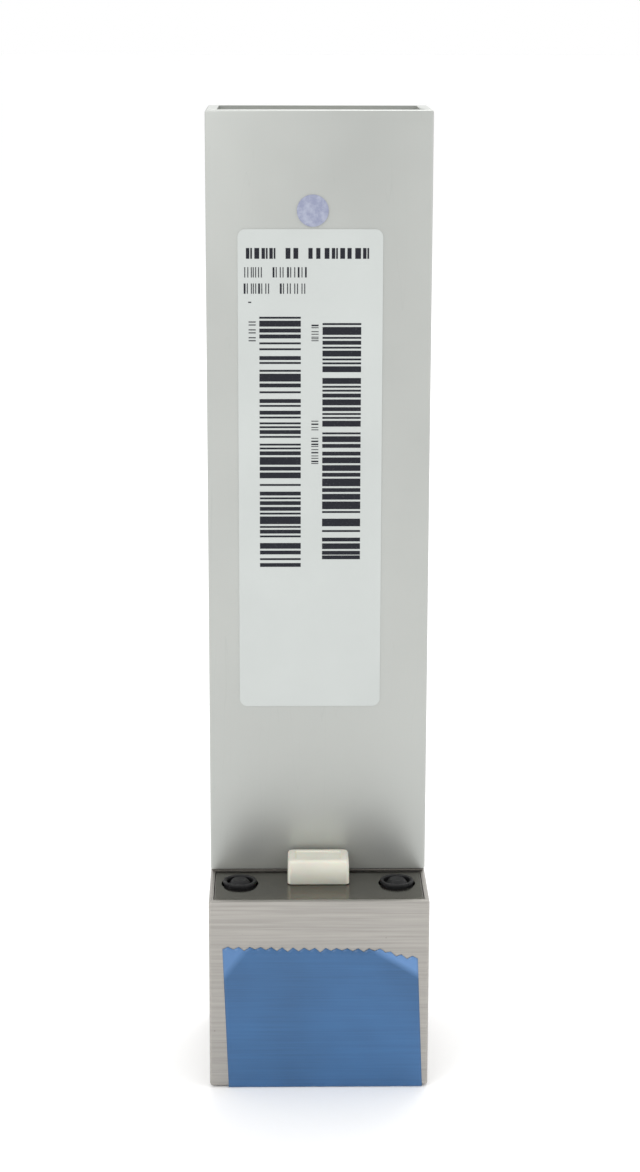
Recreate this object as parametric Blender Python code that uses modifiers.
"""Pluggable optical transceiver module, modelled standing on its optical front end.

Z runs along the module's length, from the port face (down) to the board's edge connector (up).
The label side faces -Y, and the front block stands out past it on that side. Metres.
"""
import math

import bmesh
import bpy
from mathutils import Vector

# ---- outside sizes ----
WIDTH = 0.0285              # the whole module, along X
SLAB_DEPTH = 0.0140         # the long part, along Y
STEP_DEPTH = 0.0114         # how far the front block stands out past the label face
BLOCK_LENGTH = 0.0256       # port face to shoulder
SLAB_LENGTH = 0.0997        # shoulder to the edge connector's mouth
EDGE_ROUND = 0.0003         # broken outer edges

# ---- walls and gaps ----
WALL = 0.0015               # tray, cover and block walls
FOOT_WALL = 0.0020          # wall around the ports
RIM = 0.0006                # block rim around the shoulder plate
GASKET_RIM = 0.00045        # block rim around the gasket
FIT = 0.0003                # gap between pieces that rest on or pass through each other
SEAT = 0.0001               # gap under films, chips and other glued or soldered pieces
FILM = 0.0001               # thickness of label, sticker and tape
THIN_WALL = 0.00075         # wall between a screw pocket and the hollow beside it

# ---- shoulder ----
PLATE_THICK = 0.0015
GASKET_DEPTH = 0.0006       # how deep the gasket sits in the block
GASKET_PROUD = 0.0002
KEY_SIZE = (0.0081, 0.0051, 0.0032)
KEY_TONGUE = 0.0022         # tongue thickness, along Y, through the plate
KEY_TONGUE_WIDTH = 0.0050
KEY_TONGUE_PAST = 0.0010    # tongue past the plate's underside
KEY_ROUND = 0.0004

# ---- captive screws ----
SCREW_SIDE_WALL = 0.0009    # block wall beside a screw's pocket
SCREW_SETBACK = 0.00465     # screw axis in front of the label face
THREAD_RADIUS = 0.0015
HEAD_RADIUS = 0.00275
HEAD_HEIGHT = 0.0030
HEAD_RECESS = 0.0006        # head below the port face when the screw is drawn back
SOCKET_ACROSS = 0.0025
SOCKET_DEPTH = 0.0016
SCREW_TRAVEL = 0.0040
TIP_PROUD = 0.0001          # screw tip past the ferrule when drawn back
TIP_CHAMFER = 0.0004
COUNTERBORE_DEPTH = 0.0118
WEB = 0.0020                # web that the screw passes through
RING_THICK = 0.0008
RING_RADIUS = 0.0025
GROOVE_DEPTH = 0.0004       # neck that the retaining ring snaps into
SPRING_WIRE = 0.00025       # wire radius
SPRING_RADIUS = 0.0022      # to the middle of the wire
SPRING_TURNS = 6
SPRING_POINTS = 12          # points in each turn
FERRULE_RADIUS = 0.0021
FLANGE_RADIUS = 0.0024
FLANGE_HEIGHT = 0.0004
FLANGE_CHAMFER = 0.0001
FERRULE_PLAY = 0.00024      # around the screw's thread
RING_OPENING = math.radians(70)

# ---- optics ----
PORT_PITCH = 0.00625
PORT_WIDTH = 0.0047
PORT_DEPTH = 0.0105
PORT_WALL = 0.00072         # receptacle wall beside and above a port
LATCH_SLOT_WIDTH = 0.0026
LATCH_SLOT_WALL = 0.00045
RECEPTACLE_LENGTH = 0.0120
RECEPTACLE_PLAY = 0.00055   # between the receptacle and the block's walls, along Y
NOSE_STEP = 0.0005          # how far the receptacle's flange stands out past its nose, along X
NOSE_SHOULDER = 0.00075     # the same, along Y
POST_RADIUS = 0.0017
POST_HEIGHT = 0.0044
SLEEVE_RADIUS = 0.0009
SLEEVE_BORE = 0.00063
SLEEVE_LENGTH = 0.0062
RETAINER_THICK = 0.0010
BARREL_RADIUS = 0.0019
BARREL_LENGTH = 0.0026
TX_PACKAGE = (0.0056, 0.0050, 0.0062)
RX_PACKAGE = (0.0050, 0.0044, 0.0054)
PACKAGE_ROUND = 0.0002
PACKAGE_TO_BOARD = 0.0008
FLEX_WIDTH = 0.0040
FLEX_THICK = 0.00015
FLEX_LAP = 0.0034           # flex soldered along the board

# ---- board ----
BOARD_THICK = 0.0010
BOARD_SETBACK = 0.0012      # card edge below the mouth
CARD_EDGE_LENGTH = 0.0070
CARD_EDGE_INSET = 0.0014
BOARD_SCREW_INSET = 0.00395             # from the board's side
BOARD_SCREW_FROM_ENDS = (0.0200, 0.0272)    # above the slab's lower end, below its upper end
BOARD_BOSS_RADIUS = 0.0019
BOARD_SCREW_RADIUS = 0.0008
BOARD_HEAD_RADIUS = 0.0015
BOARD_HEAD_HEIGHT = 0.0009
BOARD_SCREW_BITE = 0.0030
BOARD_SOCKET = (0.0012, 0.00045)    # across flats, depth
PROCESSOR_SIZE = (0.0140, 0.0022, 0.0140)
PROCESSOR_Z = 0.0450        # above the slab's lower end
CHIP_ROUND = 0.0001
AMPLIFIER_Z = 0.0063        # this and the next two: above the slab's lower end
CONTROLLER_Z = 0.0280
OSCILLATOR_Z = 0.0380
OSCILLATOR_X = 0.0073
DRIVER_SIZE = (0.0050, 0.0010, 0.0050)
AMPLIFIER_SIZE = (0.0040, 0.0009, 0.0040)
CONTROLLER_SIZE = (0.0070, 0.0010, 0.0070)
OSCILLATOR_SIZE = (0.0050, 0.0011, 0.0032)
INDUCTOR_SIZE = (0.0052, 0.0030, 0.0052)
CAPACITOR_SIZE = (0.0043, 0.0026, 0.0073)
POWER_X = (-0.0055, 0.0015)
INDUCTOR_FROM_TOP = 0.0472
CAPACITOR_FROM_TOP = 0.0382
PAD_THICK = 0.0008
PAD_MARGIN = 0.0005

# ---- case screws ----
CASE_SCREW_RADIUS = 0.0010
CASE_HEAD_RADIUS = 0.0019
CASE_HEAD_HEIGHT = 0.0009
PILLAR_RADIUS = 0.0022
PILLARS_FROM_ENDS = (0.0080, 0.0142)    # above the slab's lower end, below its upper end
POST_DEPTH = 0.0032         # cover post below the cover
TONGUE_THICK = 0.0018
TONGUE_MARGIN = 0.0042      # from the module's side to the tongue beside it
TONGUE_ROOT = 0.0040
CASE_SOCKET_ACROSS = 0.0013
CASE_SOCKET_DEPTH = 0.0007

# ---- films ----
LABEL_WIDTH = 0.0183
LABEL_LENGTH = 0.0621
LABEL_CENTRE_X = -0.0011
LABEL_ROUND = 0.0010
LABEL_TO_TOP = 0.0147       # label's upper edge below the mouth
DOT_RADIUS = 0.0020
DOT_SIDES = 32
DOT_X = -0.0008
TAPE_MARGIN = 0.0016        # tape narrower than the module, each side
TAPE_RISE = 0.0185          # tape up the block's front face
TAPE_SAG = 0.0018           # one end of the cut lower than the other
TAPE_LEAN = math.radians(2.2)
TAPE_SHIFT = 0.0005
TAPE_TEETH = 18
TOOTH = 0.0006
FLAP_MARGIN = 0.0012        # port face left bare behind the flap

# ---- planes that the pieces share ----
FOOT_Z = FILM + SEAT
SHOULDER_Z = FOOT_Z + BLOCK_LENGTH
SLAB_Z = SHOULDER_Z + GASKET_PROUD + FIT
TOP_Z = SHOULDER_Z + SLAB_LENGTH
BACK_Y = (SLAB_DEPTH + STEP_DEPTH + FILM + SEAT) / 2
FACE_Y = BACK_Y - SLAB_DEPTH
FRONT_Y = FACE_Y - STEP_DEPTH
MID_Y = (FACE_Y + BACK_Y) / 2
HALF = WIDTH / 2
INNER = HALF - WALL
INNER_BACK_Y = BACK_Y - WALL
SCREW_Y = FACE_Y - SCREW_SETBACK
POCKET_RADIUS = HEAD_RADIUS + FIT
SCREW_X = HALF - SCREW_SIDE_WALL - POCKET_RADIUS
PLATE_Z = SHOULDER_Z - PLATE_THICK
COUNTERBORE_TOP = FOOT_Z + COUNTERBORE_DEPTH
WEB_TOP = COUNTERBORE_TOP + WEB
HEAD_Z = FOOT_Z + HEAD_RECESS
NOSE_WIDTH = PORT_PITCH + PORT_WIDTH + 2 * PORT_WALL
RECEPTACLE_WIDTH = NOSE_WIDTH + 2 * NOSE_STEP
RECEPTACLE_DEPTH = SLAB_DEPTH - 2 * WALL - 2 * RECEPTACLE_PLAY
NOSE_DEPTH = RECEPTACLE_DEPTH - 2 * NOSE_SHOULDER
RECEPTACLE_Z = FOOT_Z + FOOT_WALL + FIT
RECEPTACLE_TOP = RECEPTACLE_Z + RECEPTACLE_LENGTH
RETAINER_Z = RECEPTACLE_TOP + FIT
BARREL_Z = RECEPTACLE_TOP + FIT
PACKAGE_Z = BARREL_Z + BARREL_LENGTH
TONGUE_Z = RETAINER_Z + RETAINER_THICK + FIT
TONGUE_OUTER_X = HALF - TONGUE_MARGIN
TONGUE_INNER_X = PORT_PITCH / 2 + TX_PACKAGE[0] / 2 + FIT
BLOCK_SCREW_X = (TONGUE_INNER_X + TONGUE_OUTER_X) / 2
BLOCK_SCREW_Z = (TONGUE_Z + SHOULDER_Z) / 2
BOARD_Z = PACKAGE_Z + TX_PACKAGE[2] + PACKAGE_TO_BOARD
BOARD_TOP = TOP_Z - BOARD_SETBACK
BOARD_FRONT_Y = MID_Y - BOARD_THICK / 2
BOARD_BACK_Y = MID_Y + BOARD_THICK / 2
BOARD_HALF = INNER - FIT
PILLAR_X = INNER - FIT - PILLAR_RADIUS
POST_END_Y = FACE_Y + WALL + POST_DEPTH
BOARD_SCREW_X = BOARD_HALF - BOARD_SCREW_INSET
TAPE_WIDTH = WIDTH - 2 * TAPE_MARGIN
OUTSIDE = 0.0010            # how far a cutter runs past the face that it opens

# ---- colours: red, green, blue, metallic, roughness ----
FINISHES = {
    "brushed": ((0.70, 0.68, 0.65), 1.0, 0.38),
    "cast": ((0.66, 0.67, 0.66), 1.0, 0.45),
    "polished": ((0.42, 0.41, 0.40), 1.0, 0.12),
    "black_steel": ((0.02, 0.02, 0.022), 0.8, 0.40),
    "steel": ((0.60, 0.60, 0.60), 1.0, 0.30),
    "gold": ((0.83, 0.62, 0.28), 1.0, 0.28),
    "elastomer": ((0.05, 0.05, 0.055), 0.0, 0.75),
    "cream_plastic": ((0.86, 0.84, 0.74), 0.0, 0.45),
    "grey_plastic": ((0.10, 0.11, 0.12), 0.0, 0.50),
    "ceramic": ((0.90, 0.90, 0.88), 0.0, 0.20),
    "board_green": ((0.03, 0.20, 0.09), 0.0, 0.40),
    "chip_black": ((0.03, 0.03, 0.03), 0.0, 0.55),
    "polyimide": ((0.62, 0.30, 0.06), 0.0, 0.35),
    "pad_grey": ((0.45, 0.50, 0.58), 0.0, 0.90),
    "capacitor": ((0.75, 0.48, 0.10), 0.0, 0.50),
    "paper": ((0.88, 0.89, 0.90), 0.0, 0.55),
    "dot_blue": ((0.42, 0.44, 0.68), 0.0, 0.60),
    "tape_blue": ((0.10, 0.27, 0.60), 0.0, 0.25),
}


def clear_scene():
    for old in list(bpy.data.objects):
        bpy.data.objects.remove(old, do_unlink=True)


def new_collection(name):
    collection = bpy.data.collections.new(name)
    bpy.context.scene.collection.children.link(collection)
    return collection


clear_scene()
MODULE = new_collection("optical_transceiver_module")
CUTTERS = new_collection("cutters")


# ---- shape helpers ----

FACETS = 28             # flats round a turned piece
BORE_FACETS = 24
HOLE_FACETS = 20
HEX = 6
SHARP_ANGLE = math.radians(35)
BEVEL_ANGLE = math.radians(50)
SEAM_WELD = 0.00001
CAP_WELD = 0.000001


def place(name, mesh, location, collection):
    piece = bpy.data.objects.new(name, mesh)
    piece.location = location
    collection.objects.link(piece)
    if collection is CUTTERS:
        piece.hide_render = True
        piece.display_type = "WIRE"
    return piece


def cuboid(name, low, high, collection=MODULE):
    low, high = Vector(low), Vector(high)
    mesh = bpy.data.meshes.new(name)
    shape = bmesh.new()
    bmesh.ops.create_cube(shape, size=1.0)
    bmesh.ops.scale(shape, vec=high - low, verts=shape.verts)
    shape.to_mesh(mesh)
    shape.free()
    return place(name, mesh, (low + high) / 2, collection)


def cylinder(name, radius, start, end, sides=FACETS, collection=MODULE, end_radius=None):
    start, end = Vector(start), Vector(end)
    run = end - start
    turn = Vector((0, 0, 1)).rotation_difference(run).to_matrix().to_4x4()
    mesh = bpy.data.meshes.new(name)
    shape = bmesh.new()
    bmesh.ops.create_cone(
        shape, cap_ends=True, segments=sides, radius1=radius,
        radius2=radius if end_radius is None else end_radius, depth=run.length, matrix=turn)
    shape.to_mesh(mesh)
    shape.free()
    mesh.shade_smooth()
    mesh.set_sharp_from_angle(angle=SHARP_ANGLE)
    return place(name, mesh, (start + end) / 2, collection)


def turned(name, profile, location, rotation=(0, 0, 0), sides=FACETS):
    """A Screw of a profile of (radius, height) pairs, listed from top to bottom."""
    mesh = bpy.data.meshes.new(name)
    points = [(radius, 0, height) for radius, height in profile]
    edges = [(index, index + 1) for index in range(len(points) - 1)]
    if profile[0][0] > 0 and profile[-1][0] > 0:
        edges.append((len(points) - 1, 0))
    mesh.from_pydata(points, edges, [])
    piece = place(name, mesh, location, MODULE)
    piece.rotation_euler = rotation
    screw = piece.modifiers.new("turn", "SCREW")
    screw.axis = "Z"
    screw.steps = sides
    screw.render_steps = sides
    screw.use_merge_vertices = True
    screw.merge_threshold = SEAM_WELD
    return piece


def outline_plate(name, points, thickness, location, rotation):
    """A flat outline in its own X and Y, made solid on both sides of its plane."""
    curve = bpy.data.curves.new(name, "CURVE")
    curve.dimensions = "2D"
    curve.fill_mode = "BOTH"
    curve.extrude = thickness / 2
    spline = curve.splines.new("POLY")
    spline.points.add(len(points) - 1)
    spline.use_cyclic_u = True
    for knot, (x, y) in zip(spline.points, points):
        knot.co = (x, y, 0, 1)
    source = place(name + "_outline", curve, location, MODULE)
    source.rotation_euler = rotation
    return as_mesh(source, name)


def as_mesh(source, name):
    """A curve object's solid as a mesh object, with its caps welded."""
    bpy.context.view_layer.update()
    evaluated = source.evaluated_get(bpy.context.evaluated_depsgraph_get())
    mesh = bpy.data.meshes.new_from_object(evaluated)
    shape = bmesh.new()
    shape.from_mesh(mesh)
    bmesh.ops.remove_doubles(shape, verts=shape.verts, dist=CAP_WELD)
    bmesh.ops.recalc_face_normals(shape, faces=shape.faces)
    shape.to_mesh(mesh)
    shape.free()
    matrix = source.matrix_world.copy()
    bpy.data.objects.remove(source, do_unlink=True)
    piece = place(name, mesh, (0, 0, 0), MODULE)
    piece.matrix_world = matrix
    return piece


def round_edges(piece, width=EDGE_ROUND, segments=2):
    bevel = piece.modifiers.new("round", "BEVEL")
    bevel.width = width
    bevel.segments = segments
    bevel.limit_method = "ANGLE"
    bevel.angle_limit = BEVEL_ANGLE


def combine(piece, tool, operation):
    boolean = piece.modifiers.new(tool.name, "BOOLEAN")
    boolean.object = tool
    boolean.operation = operation
    boolean.solver = "EXACT"


def cut(piece, tool):
    combine(piece, tool, "DIFFERENCE")


def join(piece, tool):
    combine(piece, tool, "UNION")


def finish(piece, look):
    colour, metallic, roughness = FINISHES[look]
    material = bpy.data.materials.new(piece.name)
    material.use_nodes = True
    shader = material.node_tree.nodes["Principled BSDF"]
    shader.inputs["Base Color"].default_value = (*colour, 1)
    shader.inputs["Metallic"].default_value = metallic
    shader.inputs["Roughness"].default_value = roughness
    piece.data.materials.clear()
    piece.data.materials.append(material)


def rounded_rectangle(width, height, radius, steps=6):
    points = []
    corners = ((1, 1, 0), (-1, 1, 90), (-1, -1, 180), (1, -1, 270))
    for side_x, side_y, start in corners:
        for step in range(steps + 1):
            angle = math.radians(start + 90 * step / steps)
            x = side_x * (width / 2 - radius) + radius * math.cos(angle)
            y = side_y * (height / 2 - radius) + radius * math.sin(angle)
            points.append((x, y))
    return points


SIDES = {"left": -1, "right": 1}
UPRIGHT = (math.radians(90), 0, 0)      # lays an outline's X and Y on the module's X and Z
HEAD_AT_BACK = (math.radians(-90), 0, 0)
HEAD_AT_FRONT = (math.radians(90), 0, 0)


# ---- case ----

def case_screw_cutters(name, x, z, inner_y):
    """Countersink in the back face with a clearance hole that runs in to inner_y."""
    hole = cylinder(
        name + "_hole", CASE_SCREW_RADIUS + FIT, (x, inner_y, z), (x, BACK_Y + OUTSIDE, z),
        sides=HOLE_FACETS, collection=CUTTERS)
    slope = (CASE_HEAD_RADIUS - CASE_SCREW_RADIUS) / CASE_HEAD_HEIGHT
    seat_y = BACK_Y - CASE_HEAD_HEIGHT - SEAT
    mouth_y = BACK_Y + OUTSIDE
    sink = cylinder(
        name + "_sink", CASE_SCREW_RADIUS + FIT, (x, seat_y, z), (x, mouth_y, z),
        sides=HOLE_FACETS, collection=CUTTERS,
        end_radius=CASE_SCREW_RADIUS + FIT + slope * (mouth_y - seat_y))
    return hole, sink


def front_block():
    block = cuboid("front_block", (-HALF, FRONT_Y, FOOT_Z), (HALF, BACK_Y, SHOULDER_Z))
    round_edges(block)
    floor_z = FOOT_Z + FOOT_WALL
    above = SHOULDER_Z + OUTSIDE
    cutters = [
        cuboid("rear_bay", (-INNER, FACE_Y + WALL, floor_z), (INNER, INNER_BACK_Y, above), CUTTERS),
        cuboid(
            "gasket_ledge", (-HALF + GASKET_RIM, FACE_Y + GASKET_RIM, SHOULDER_Z - GASKET_DEPTH),
            (HALF - GASKET_RIM, BACK_Y - GASKET_RIM, above), CUTTERS),
        cuboid(
            "plate_ledge", (-HALF + RIM, FRONT_Y + RIM, PLATE_Z - SEAT),
            (HALF - RIM, FACE_Y, above), CUTTERS),
    ]
    bay_half = SCREW_X - POCKET_RADIUS - THIN_WALL
    bay_end = FACE_Y + WALL + OUTSIDE
    bay_top = SHOULDER_Z - PLATE_THICK - WALL
    cutters.append(cuboid(
        "front_bay", (-bay_half, FRONT_Y + WALL, floor_z), (bay_half, bay_end, bay_top), CUTTERS))
    tongue_half = KEY_TONGUE_WIDTH / 2 + FIT
    key_y = FACE_Y - FIT - KEY_SIZE[1] / 2
    cutters.append(cuboid(
        "key_slot", (-tongue_half, key_y - KEY_TONGUE / 2 - FIT, bay_top - OUTSIDE),
        (tongue_half, key_y + KEY_TONGUE / 2 + FIT, above), CUTTERS))
    for side, sign in SIDES.items():
        x = sign * SCREW_X
        cutters.append(cylinder(
            side + "_counterbore", POCKET_RADIUS, (x, SCREW_Y, FOOT_Z - OUTSIDE),
            (x, SCREW_Y, COUNTERBORE_TOP), collection=CUTTERS))
        cutters.append(cylinder(
            side + "_screw_bore", THREAD_RADIUS + FIT, (x, SCREW_Y, COUNTERBORE_TOP - OUTSIDE),
            (x, SCREW_Y, WEB_TOP + OUTSIDE), collection=CUTTERS))
        cutters.append(cylinder(
            side + "_ring_pocket", POCKET_RADIUS, (x, SCREW_Y, WEB_TOP),
            (x, SCREW_Y, above), collection=CUTTERS))
        cutters += case_screw_cutters(
            side + "_block_screw", sign * BLOCK_SCREW_X, BLOCK_SCREW_Z,
            INNER_BACK_Y - OUTSIDE)
    window_x = NOSE_WIDTH / 2 + FIT
    window_y = NOSE_DEPTH / 2 + FIT
    cutters.append(cuboid(
        "port_window", (-window_x, MID_Y - window_y, FOOT_Z - OUTSIDE),
        (window_x, MID_Y + window_y, floor_z + OUTSIDE), CUTTERS))
    for cutter in cutters:
        cut(block, cutter)
    finish(block, "brushed")


def shoulder_plate():
    margin = RIM + FIT
    low = (-HALF + margin, FRONT_Y + margin, PLATE_Z)
    plate = cuboid("shoulder_plate", low, (HALF - margin, FACE_Y - FIT, SHOULDER_Z))
    for side, sign in SIDES.items():
        x = sign * SCREW_X
        cut(plate, cylinder(
            side + "_ferrule_hole", FERRULE_RADIUS + FIT, (x, SCREW_Y, PLATE_Z - OUTSIDE),
            (x, SCREW_Y, SHOULDER_Z + OUTSIDE), collection=CUTTERS))
    tongue_half = KEY_TONGUE_WIDTH / 2 + FIT
    key_y = FACE_Y - FIT - KEY_SIZE[1] / 2
    cut(plate, cuboid(
        "plate_key_slot", (-tongue_half, key_y - KEY_TONGUE / 2 - FIT, PLATE_Z - OUTSIDE),
        (tongue_half, key_y + KEY_TONGUE / 2 + FIT, SHOULDER_Z + OUTSIDE), CUTTERS))
    finish(plate, "polished")


def guide_key():
    width, depth, height = KEY_SIZE
    back_y = FACE_Y - FIT
    low_z = SHOULDER_Z + SEAT
    key = cuboid("guide_key", (-width / 2, back_y - depth, low_z), (width / 2, back_y, low_z + height))
    round_edges(key, KEY_ROUND)
    key_y = back_y - depth / 2
    join(key, cuboid(
        "key_tongue", (-KEY_TONGUE_WIDTH / 2, key_y - KEY_TONGUE / 2, PLATE_Z - KEY_TONGUE_PAST),
        (KEY_TONGUE_WIDTH / 2, key_y + KEY_TONGUE / 2, low_z + height / 2), CUTTERS))
    finish(key, "cream_plastic")


def emi_gasket():
    margin = GASKET_RIM + SEAT
    low_z = SHOULDER_Z - GASKET_DEPTH + SEAT
    high_z = SHOULDER_Z + GASKET_PROUD
    gasket = cuboid(
        "emi_gasket", (-HALF + margin, FACE_Y + margin, low_z), (HALF - margin, BACK_Y - margin, high_z))
    cut(gasket, cuboid(
        "gasket_opening", (-INNER + SEAT, FACE_Y + WALL - SEAT, low_z - OUTSIDE),
        (INNER - SEAT, INNER_BACK_Y + SEAT, high_z + OUTSIDE), CUTTERS))
    finish(gasket, "elastomer")


def four_places(x, from_ends):
    """Two rows of two: one above the slab's lower end, one below its upper end."""
    heights = (SLAB_Z + from_ends[0], TOP_Z - from_ends[1])
    return [(sign * x, z) for z in heights for sign in (-1, 1)]


def board_boss_places():
    return four_places(BOARD_SCREW_X, BOARD_SCREW_FROM_ENDS)


def pillar_places():
    return four_places(PILLAR_X, PILLARS_FROM_ENDS)


def base_tray():
    seam_y = FACE_Y + WALL + SEAT
    tray = cuboid("base_tray", (-HALF, seam_y, SLAB_Z), (HALF, BACK_Y, TOP_Z))
    round_edges(tray)
    cut(tray, cuboid(
        "tray_channel", (-INNER, seam_y - OUTSIDE, SLAB_Z - OUTSIDE),
        (INNER, INNER_BACK_Y, TOP_Z + OUTSIDE), CUTTERS))
    tongue_y = INNER_BACK_Y - FIT
    root_top = SLAB_Z + TONGUE_ROOT
    for side, sign in SIDES.items():
        low_x, high_x = sorted((sign * TONGUE_INNER_X, sign * TONGUE_OUTER_X))
        join(tray, cuboid(
            side + "_tongue", (low_x, tongue_y - TONGUE_THICK, TONGUE_Z),
            (high_x, tongue_y, root_top), CUTTERS))
        join(tray, cuboid(
            side + "_tongue_root", (low_x, tongue_y - TONGUE_THICK / 2, SLAB_Z + FIT),
            (high_x, INNER_BACK_Y + WALL / 2, root_top - FIT), CUTTERS))
    pad_half = PROCESSOR_SIZE[0] / 2
    pad_y = BOARD_BACK_Y + SEAT + PROCESSOR_SIZE[1] + SEAT + PAD_THICK + SEAT
    pad_z = SLAB_Z + PROCESSOR_Z
    join(tray, cuboid(
        "processor_pedestal", (-pad_half, pad_y, pad_z - pad_half),
        (pad_half, INNER_BACK_Y + WALL / 2, pad_z + pad_half), CUTTERS))
    for index, (x, z) in enumerate(board_boss_places(), 1):
        boss_y = BOARD_BACK_Y + SEAT
        join(tray, cylinder(
            f"board_boss_{index}", BOARD_BOSS_RADIUS, (x, boss_y, z), (x, INNER_BACK_Y + WALL / 2, z),
            collection=CUTTERS))
        cut(tray, cylinder(
            f"board_tap_{index}", BOARD_SCREW_RADIUS + FIT, (x, boss_y - OUTSIDE, z),
            (x, boss_y + BOARD_SCREW_BITE + FIT, z), sides=HOLE_FACETS, collection=CUTTERS))
    for index, (x, z) in enumerate(pillar_places(), 1):
        join(tray, cylinder(
            f"tray_pillar_{index}", PILLAR_RADIUS, (x, POST_END_Y + FIT, z),
            (x, INNER_BACK_Y + WALL / 2, z), collection=CUTTERS))
        for cutter in case_screw_cutters(f"cover_screw_{index}", x, z, POST_END_Y - OUTSIDE):
            cut(tray, cutter)
    for side, sign in SIDES.items():
        x = sign * BLOCK_SCREW_X
        cut(tray, cylinder(
            side + "_tongue_tap", CASE_SCREW_RADIUS + FIT,
            (x, tongue_y - TONGUE_THICK - OUTSIDE, BLOCK_SCREW_Z), (x, tongue_y + FIT / 2, BLOCK_SCREW_Z),
            sides=HOLE_FACETS, collection=CUTTERS))
    finish(tray, "cast")


def top_cover():
    cover = cuboid("top_cover", (-HALF, FACE_Y, SLAB_Z), (HALF, FACE_Y + WALL, TOP_Z))
    round_edges(cover)
    for index, (x, z) in enumerate(pillar_places(), 1):
        join(cover, cylinder(
            f"cover_post_{index}", PILLAR_RADIUS, (x, FACE_Y + WALL / 2, z), (x, POST_END_Y, z),
            collection=CUTTERS))
        cut(cover, cylinder(
            f"cover_tap_{index}", CASE_SCREW_RADIUS + FIT, (x, FACE_Y + WALL, z),
            (x, POST_END_Y + OUTSIDE, z), sides=HOLE_FACETS, collection=CUTTERS))
    finish(cover, "cast")


def socket_screw(name, head, shank, socket, location, rotation, cone=True):
    """head is (radius, height), shank is (radius, length), socket is (across flats, depth)."""
    head_radius, head_height = head
    shank_radius, shank_length = shank
    neck = (shank_radius, -head_height)
    profile = [(0, 0), (head_radius, 0)]
    if not cone:
        profile.append((head_radius, -head_height))
    profile += [neck, (shank_radius, -head_height - shank_length), (0, -head_height - shank_length)]
    screw = turned(name, profile, location, rotation, sides=HOLE_FACETS)
    across, depth = socket
    key = cylinder(
        name + "_socket", across / math.sqrt(3), (0, 0, -depth), (0, 0, OUTSIDE),
        sides=HEX, collection=CUTTERS)
    key.parent = screw
    cut(screw, key)
    finish(screw, "steel")


def case_screws():
    socket = (CASE_SOCKET_ACROSS, CASE_SOCKET_DEPTH)
    head = (CASE_HEAD_RADIUS, CASE_HEAD_HEIGHT)
    head_y = BACK_Y - SEAT
    tap_y = FACE_Y + WALL
    for index, (x, z) in enumerate(pillar_places(), 1):
        shank = (CASE_SCREW_RADIUS, head_y - CASE_HEAD_HEIGHT - tap_y - FIT)
        socket_screw(f"cover_screw_{index}", head, shank, socket, (x, head_y, z), HEAD_AT_BACK)
    tongue_y = INNER_BACK_Y - FIT - TONGUE_THICK
    for side, sign in SIDES.items():
        shank = (CASE_SCREW_RADIUS, head_y - CASE_HEAD_HEIGHT - tongue_y)
        at = (sign * BLOCK_SCREW_X, head_y, BLOCK_SCREW_Z)
        socket_screw(side + "_block_screw", head, shank, socket, at, HEAD_AT_BACK)


# ---- optics ----

def port_places():
    return {"tx": -PORT_PITCH / 2, "rx": PORT_PITCH / 2}


def lc_receptacle():
    body = cuboid(
        "lc_receptacle", (-RECEPTACLE_WIDTH / 2, MID_Y - RECEPTACLE_DEPTH / 2, RECEPTACLE_Z),
        (RECEPTACLE_WIDTH / 2, MID_Y + RECEPTACLE_DEPTH / 2, RECEPTACLE_TOP))
    nose_z = FOOT_Z + FIT
    join(body, cuboid(
        "receptacle_nose", (-NOSE_WIDTH / 2, MID_Y - NOSE_DEPTH / 2, nose_z),
        (NOSE_WIDTH / 2, MID_Y + NOSE_DEPTH / 2, RECEPTACLE_Z + OUTSIDE), CUTTERS))
    floor_z = nose_z + PORT_DEPTH
    half = PORT_WIDTH / 2
    for port, x in port_places().items():
        cut(body, cuboid(
            port + "_port", (x - half, MID_Y - half, nose_z - OUTSIDE),
            (x + half, MID_Y + half, floor_z), CUTTERS))
        slot_half = LATCH_SLOT_WIDTH / 2
        cut(body, cuboid(
            port + "_latch_slot",
            (x - slot_half, MID_Y - NOSE_DEPTH / 2 + LATCH_SLOT_WALL, nose_z - OUTSIDE),
            (x + slot_half, MID_Y - half + OUTSIDE, floor_z - OUTSIDE), CUTTERS))
        join(body, cylinder(
            port + "_post", POST_RADIUS, (x, MID_Y, floor_z - POST_HEIGHT), (x, MID_Y, floor_z + OUTSIDE),
            sides=BORE_FACETS, collection=CUTTERS))
        cut(body, cylinder(
            port + "_sleeve_bore", SLEEVE_RADIUS + FIT, (x, MID_Y, floor_z - POST_HEIGHT - OUTSIDE),
            (x, MID_Y, RECEPTACLE_TOP + OUTSIDE), sides=BORE_FACETS, collection=CUTTERS))
    finish(body, "grey_plastic")


def sleeves():
    low_z = FOOT_Z + FIT + PORT_DEPTH - POST_HEIGHT + FIT
    for port, x in port_places().items():
        profile = [
            (SLEEVE_BORE, SLEEVE_LENGTH), (SLEEVE_RADIUS, SLEEVE_LENGTH),
            (SLEEVE_RADIUS, 0), (SLEEVE_BORE, 0)]
        sleeve = turned(port + "_sleeve", profile, (x, MID_Y, low_z), sides=HOLE_FACETS)
        finish(sleeve, "ceramic")


def receptacle_retainer():
    half = INNER - FIT
    low_y = FACE_Y + WALL + FIT
    plate = cuboid(
        "receptacle_retainer", (-half, low_y, RETAINER_Z),
        (half, INNER_BACK_Y - FIT, RETAINER_Z + RETAINER_THICK))
    for port, x in port_places().items():
        cut(plate, cylinder(
            port + "_barrel_hole", BARREL_RADIUS + FIT, (x, MID_Y, RETAINER_Z - OUTSIDE),
            (x, MID_Y, RETAINER_Z + RETAINER_THICK + OUTSIDE), collection=CUTTERS))
    finish(plate, "steel")


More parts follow.
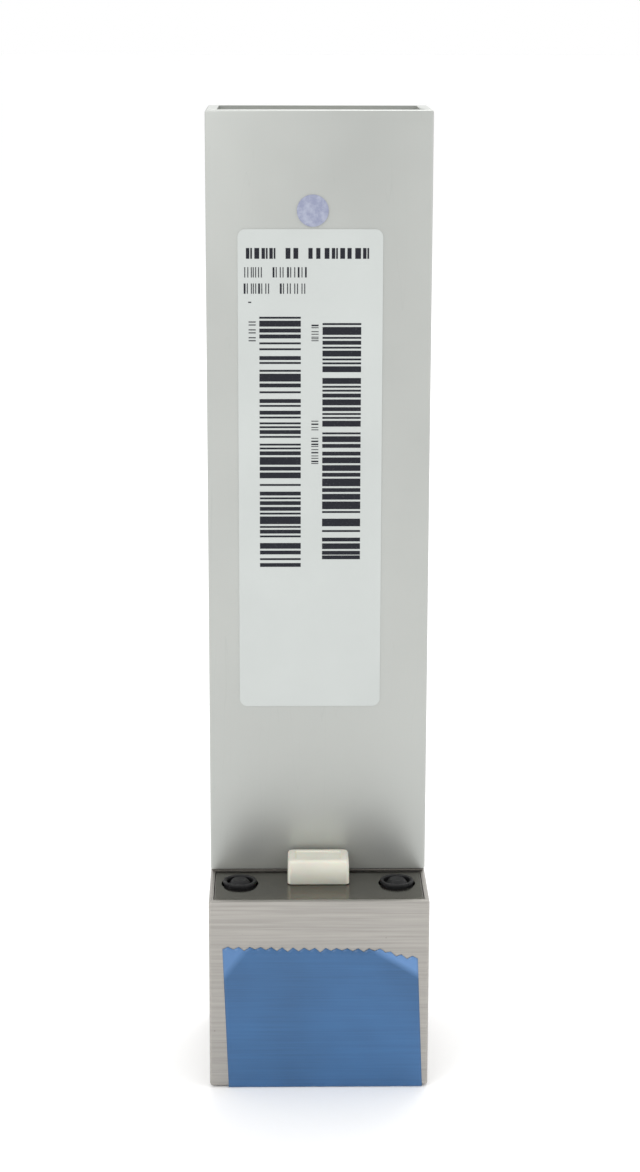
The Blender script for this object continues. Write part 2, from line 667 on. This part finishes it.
def optical_package(name, x, size):
    """A box package with the barrel that sits over the sleeve."""
    width, depth, height = size
    package = cuboid(
        name, (x - width / 2, MID_Y - depth / 2, PACKAGE_Z),
        (x + width / 2, MID_Y + depth / 2, PACKAGE_Z + height))
    round_edges(package, PACKAGE_ROUND, 1)
    join(package, cylinder(
        name + "_barrel", BARREL_RADIUS, (x, MID_Y, BARREL_Z), (x, MID_Y, PACKAGE_Z + OUTSIDE),
        sides=BORE_FACETS, collection=CUTTERS))
    finish(package, "gold")


def ribbon(name, x, points):
    """A flat flexible strip: a line of (y, z) points swept across its width, then thickened."""
    mesh = bpy.data.meshes.new(name)
    vertices = [(side * FLEX_WIDTH / 2, y, z) for y, z in points for side in (-1, 1)]
    faces = [(i, i + 1, i + 3, i + 2) for i in range(0, len(vertices) - 2, 2)]
    mesh.from_pydata(vertices, [], faces)
    strip = place(name, mesh, (x, 0, 0), MODULE)
    solid = strip.modifiers.new("thickness", "SOLIDIFY")
    solid.thickness = FLEX_THICK
    solid.offset = 0
    finish(strip, "polyimide")


def flex_points(package_top):
    """From behind the package, an S bend on to the board's front face."""
    start_y = MID_Y
    end_y = BOARD_FRONT_Y - SEAT - FLEX_THICK / 2 - FIT / 2
    start_z = package_top + FIT
    bend_end = BOARD_Z + FIT
    steps = 8
    points = []
    for step in range(steps + 1):
        share = step / steps
        ease = share * share * (3 - 2 * share)
        points.append((start_y + (end_y - start_y) * ease, start_z + (bend_end - start_z) * share))
    points.append((end_y, BOARD_Z + FLEX_LAP))
    return points


def optics():
    lc_receptacle()
    sleeves()
    receptacle_retainer()
    places = port_places()
    optical_package("transmitter_package", places["tx"], TX_PACKAGE)
    optical_package("receiver_package", places["rx"], RX_PACKAGE)
    for name, port, size in (("tx_flex", "tx", TX_PACKAGE), ("rx_flex", "rx", RX_PACKAGE)):
        ribbon(name, places[port], flex_points(PACKAGE_Z + size[2]))


# ---- board ----

def main_board():
    edge_half = BOARD_HALF - CARD_EDGE_INSET
    edge_z = BOARD_TOP - CARD_EDGE_LENGTH
    points = [
        (-BOARD_HALF, BOARD_Z), (BOARD_HALF, BOARD_Z), (BOARD_HALF, edge_z), (edge_half, edge_z),
        (edge_half, BOARD_TOP), (-edge_half, BOARD_TOP), (-edge_half, edge_z), (-BOARD_HALF, edge_z)]
    board = outline_plate("main_board", points, BOARD_THICK, (0, MID_Y, 0), UPRIGHT)
    for index, (x, z) in enumerate(board_boss_places(), 1):
        cut(board, cylinder(
            f"board_hole_{index}", BOARD_SCREW_RADIUS + FIT, (x, MID_Y - BOARD_THICK, z),
            (x, MID_Y + BOARD_THICK, z), sides=HOLE_FACETS, collection=CUTTERS))
    for index, (x, z) in enumerate(pillar_places(), 1):
        cut(board, cylinder(
            f"board_notch_{index}", PILLAR_RADIUS + FIT, (x, MID_Y - BOARD_THICK, z),
            (x, MID_Y + BOARD_THICK, z), collection=CUTTERS))
        edge_x = math.copysign(BOARD_HALF + OUTSIDE, x)
        notch_half = PILLAR_RADIUS + FIT
        cut(board, cuboid(
            f"board_notch_mouth_{index}", (min(x, edge_x), MID_Y - BOARD_THICK, z - notch_half),
            (max(x, edge_x), MID_Y + BOARD_THICK, z + notch_half), CUTTERS))
    finish(board, "board_green")


def board_screws():
    head = (BOARD_HEAD_RADIUS, BOARD_HEAD_HEIGHT)
    head_y = BOARD_FRONT_Y - SEAT - BOARD_HEAD_HEIGHT
    shank = (BOARD_SCREW_RADIUS, SEAT + BOARD_THICK + SEAT + BOARD_SCREW_BITE)
    for index, (x, z) in enumerate(board_boss_places(), 1):
        socket_screw(
            f"board_screw_{index}", head, shank, BOARD_SOCKET, (x, head_y, z), HEAD_AT_FRONT, cone=False)


def chip_on_front(name, x, z, size, look):
    width, thickness, height = size
    back_y = BOARD_FRONT_Y - SEAT
    chip = cuboid(
        name, (x - width / 2, back_y - thickness, z - height / 2), (x + width / 2, back_y, z + height / 2))
    round_edges(chip, CHIP_ROUND, 1)
    finish(chip, look)


def processor():
    width, thickness, height = PROCESSOR_SIZE
    low_y = BOARD_BACK_Y + SEAT
    z = SLAB_Z + PROCESSOR_Z
    chip = cuboid(
        "signal_processor", (-width / 2, low_y, z - height / 2),
        (width / 2, low_y + thickness, z + height / 2))
    round_edges(chip, CHIP_ROUND, 1)
    finish(chip, "chip_black")
    pad_y = low_y + thickness + SEAT
    pad_half = width / 2 - PAD_MARGIN
    pad = cuboid(
        "processor_pad", (-pad_half, pad_y, z - pad_half), (pad_half, pad_y + PAD_THICK, z + pad_half))
    finish(pad, "pad_grey")


def board_parts():
    main_board()
    board_screws()
    processor()
    tx, rx = port_places()["tx"], port_places()["rx"]
    chip_on_front("laser_driver", tx, SLAB_Z + AMPLIFIER_Z, DRIVER_SIZE, "chip_black")
    chip_on_front("receiver_amplifier", rx, SLAB_Z + AMPLIFIER_Z, AMPLIFIER_SIZE, "chip_black")
    chip_on_front("controller_chip", 0, SLAB_Z + CONTROLLER_Z, CONTROLLER_SIZE, "chip_black")
    chip_on_front("crystal_oscillator", OSCILLATOR_X, SLAB_Z + OSCILLATOR_Z, OSCILLATOR_SIZE, "steel")
    for index, x in enumerate(POWER_X, 1):
        inductor_z = TOP_Z - INDUCTOR_FROM_TOP
        capacitor_z = TOP_Z - CAPACITOR_FROM_TOP
        chip_on_front(f"power_inductor_{index}", x, inductor_z, INDUCTOR_SIZE, "chip_black")
        chip_on_front(f"bulk_capacitor_{index}", x, capacitor_z, CAPACITOR_SIZE, "capacitor")


# ---- captive screws ----

def captive_screw(side, x):
    tip_z = SHOULDER_Z + FLANGE_HEIGHT + SEAT + TIP_PROUD
    ring_z = WEB_TOP + SEAT
    neck = THREAD_RADIUS - GROOVE_DEPTH
    profile = [
        (0, tip_z), (THREAD_RADIUS - TIP_CHAMFER, tip_z), (THREAD_RADIUS, tip_z - TIP_CHAMFER),
        (THREAD_RADIUS, ring_z + RING_THICK + SEAT), (neck, ring_z + RING_THICK + SEAT),
        (neck, ring_z - SEAT / 2), (THREAD_RADIUS, ring_z - SEAT / 2),
        (THREAD_RADIUS, HEAD_Z + HEAD_HEIGHT), (HEAD_RADIUS, HEAD_Z + HEAD_HEIGHT),
        (HEAD_RADIUS, HEAD_Z), (0, HEAD_Z)]
    screw = turned(side + "_captive_screw", profile, (x, SCREW_Y, 0))
    cut(screw, cylinder(
        side + "_hex_socket", SOCKET_ACROSS / math.sqrt(3), (x, SCREW_Y, HEAD_Z - OUTSIDE),
        (x, SCREW_Y, HEAD_Z + SOCKET_DEPTH), sides=HEX, collection=CUTTERS))
    finish(screw, "black_steel")


def retaining_ring(side, x):
    """An open ring: a C that snaps into the screw's neck."""
    inner = THREAD_RADIUS - GROOVE_DEPTH + FIT / 2
    steps = 20
    start = (RING_OPENING - math.pi) / 2
    sweep = 2 * math.pi - RING_OPENING
    angles = [start + sweep * step / steps for step in range(steps + 1)]
    points = [(RING_RADIUS * math.cos(angle), RING_RADIUS * math.sin(angle)) for angle in angles]
    points += [(inner * math.cos(angle), inner * math.sin(angle)) for angle in reversed(angles)]
    ring_z = WEB_TOP + SEAT + RING_THICK / 2
    ring = outline_plate(side + "_retaining_ring", points, RING_THICK, (x, SCREW_Y, ring_z), (0, 0, 0))
    finish(ring, "steel")


def return_spring(side, x):
    low_z = HEAD_Z + HEAD_HEIGHT + SEAT + SPRING_WIRE
    high_z = COUNTERBORE_TOP - SEAT - SPRING_WIRE
    count = SPRING_TURNS * SPRING_POINTS
    curve = bpy.data.curves.new(side + "_return_spring", "CURVE")
    curve.dimensions = "3D"
    curve.bevel_depth = SPRING_WIRE
    curve.bevel_resolution = 1
    curve.use_fill_caps = True
    spline = curve.splines.new("POLY")
    spline.points.add(count)
    for index, knot in enumerate(spline.points):
        angle = 2 * math.pi * index / SPRING_POINTS
        height = low_z + (high_z - low_z) * index / count
        knot.co = (SPRING_RADIUS * math.cos(angle), SPRING_RADIUS * math.sin(angle), height, 1)
    spring = place(side + "_return_spring", curve, (x, SCREW_Y, 0), MODULE)
    finish(spring, "steel")


def ferrule(side, x):
    bore = THREAD_RADIUS + FERRULE_PLAY
    profile = [
        (bore, FLANGE_HEIGHT), (FLANGE_RADIUS - FLANGE_CHAMFER, FLANGE_HEIGHT),
        (FLANGE_RADIUS, FLANGE_HEIGHT - FLANGE_CHAMFER), (FLANGE_RADIUS, 0), (FERRULE_RADIUS, 0),
        (FERRULE_RADIUS, -PLATE_THICK), (bore, -PLATE_THICK)]
    collar = turned(side + "_ferrule", profile, (x, SCREW_Y, SHOULDER_Z + SEAT))
    finish(collar, "black_steel")


def captive_screws():
    for side, sign in SIDES.items():
        x = sign * SCREW_X
        captive_screw(side, x)
        retaining_ring(side, x)
        return_spring(side, x)
        ferrule(side, x)


# ---- films ----

def label_and_dot():
    film_y = FACE_Y - SEAT - FILM / 2
    label_top = TOP_Z - LABEL_TO_TOP
    label_z = label_top - LABEL_LENGTH / 2
    label = outline_plate(
        "id_label", rounded_rectangle(LABEL_WIDTH, LABEL_LENGTH, LABEL_ROUND), FILM,
        (LABEL_CENTRE_X, film_y, label_z), UPRIGHT)
    finish(label, "paper")
    angles = [2 * math.pi * step / DOT_SIDES for step in range(DOT_SIDES)]
    circle = [(DOT_RADIUS * math.cos(angle), DOT_RADIUS * math.sin(angle)) for angle in angles]
    dot = outline_plate(
        "dot_sticker", circle, FILM, (DOT_X, film_y, label_top + DOT_RADIUS + FIT), UPRIGHT)
    finish(dot, "dot_blue")


def pinked_edge(left, right):
    """Zigzag from one top corner of the tape to the other, left by a tape cutter."""
    points = []
    for tooth in range(2 * TAPE_TEETH + 1):
        share = tooth / (2 * TAPE_TEETH)
        x = left[0] + (right[0] - left[0]) * share
        sag = TAPE_SAG * share * share
        points.append((x, left[1] - sag - (TOOTH if tooth % 2 else 0)))
    return points


def port_tape():
    """Blue film from the block's front face round its lower edge and under the ports."""
    film_y = FRONT_Y - SEAT - FILM / 2
    half = TAPE_WIDTH / 2
    lean = math.tan(TAPE_LEAN) * TAPE_RISE
    low_z = FOOT_Z + FIT
    top_z = FOOT_Z + TAPE_RISE + TAPE_SAG / 2
    left_top = (TAPE_SHIFT - half - lean / 2, top_z)
    right_top = (TAPE_SHIFT + half - lean / 2, top_z)
    points = [(TAPE_SHIFT + half + lean / 2, low_z), (TAPE_SHIFT - half + lean / 2, low_z)]
    points += pinked_edge(left_top, right_top)
    front = outline_plate("port_tape_front", points, FILM, (0, film_y, 0), UPRIGHT)
    finish(front, "tape_blue")
    flap_x = TAPE_SHIFT + lean / 2
    flap = cuboid(
        "port_tape_flap", (flap_x - half, FRONT_Y - SEAT - FILM, 0),
        (flap_x + half, BACK_Y - FLAP_MARGIN, FILM))
    finish(flap, "tape_blue")


front_block()
shoulder_plate()
guide_key()
emi_gasket()
base_tray()
top_cover()
case_screws()
optics()
board_parts()
captive_screws()
label_and_dot()
port_tape()
